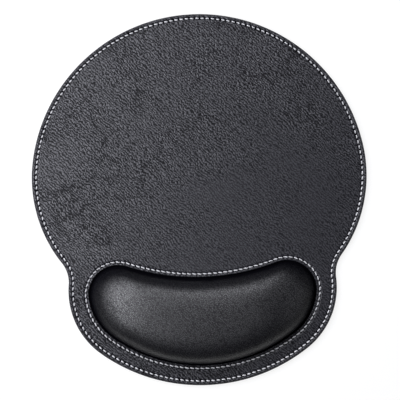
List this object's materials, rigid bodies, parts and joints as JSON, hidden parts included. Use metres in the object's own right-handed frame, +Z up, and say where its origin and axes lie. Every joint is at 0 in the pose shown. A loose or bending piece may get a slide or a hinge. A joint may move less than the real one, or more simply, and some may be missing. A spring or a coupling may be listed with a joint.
{
  "type": "mouse pad",
  "caption": "Leather mouse pad with a round mousing area, a kidney-shaped padded wrist cushion in front, contrast stitching round the edge and the cushion, and a non-slip base.",
  "frame": {"origin": "middle of the pad's bounding box on the surface that the pad lies on", "axes": "+X to the user's right, +Y away from the user along the pad's length, +Z up out of the mousing surface"},
  "size_m": [0.2254, 0.2498, 0.022],
  "materials": {
    "base_rubber": "matt, fine non-slip texture",
    "sheet_foam": "matt closed-cell foam",
    "pad_leather": "satin, creased fine grain",
    "edge_paint": "satin edge paint",
    "cushion_foam": "open-cell memory foam",
    "cushion_leather": "satin, stretched smooth",
    "thread": "twisted polyester"
  },
  "bodies": {
    "root": {"base_sheet": "base_rubber", "foam_sheet": "sheet_foam", "top_skin": "pad_leather", "edge_paint": "edge_paint", "cushion_core": "cushion_foam", "cushion_cover": "cushion_leather", "edge_needle_thread": "thread", "edge_bobbin_thread": "thread", "cushion_needle_thread": "thread", "cushion_bobbin_thread": "thread"}
  },
  "joints": []
}
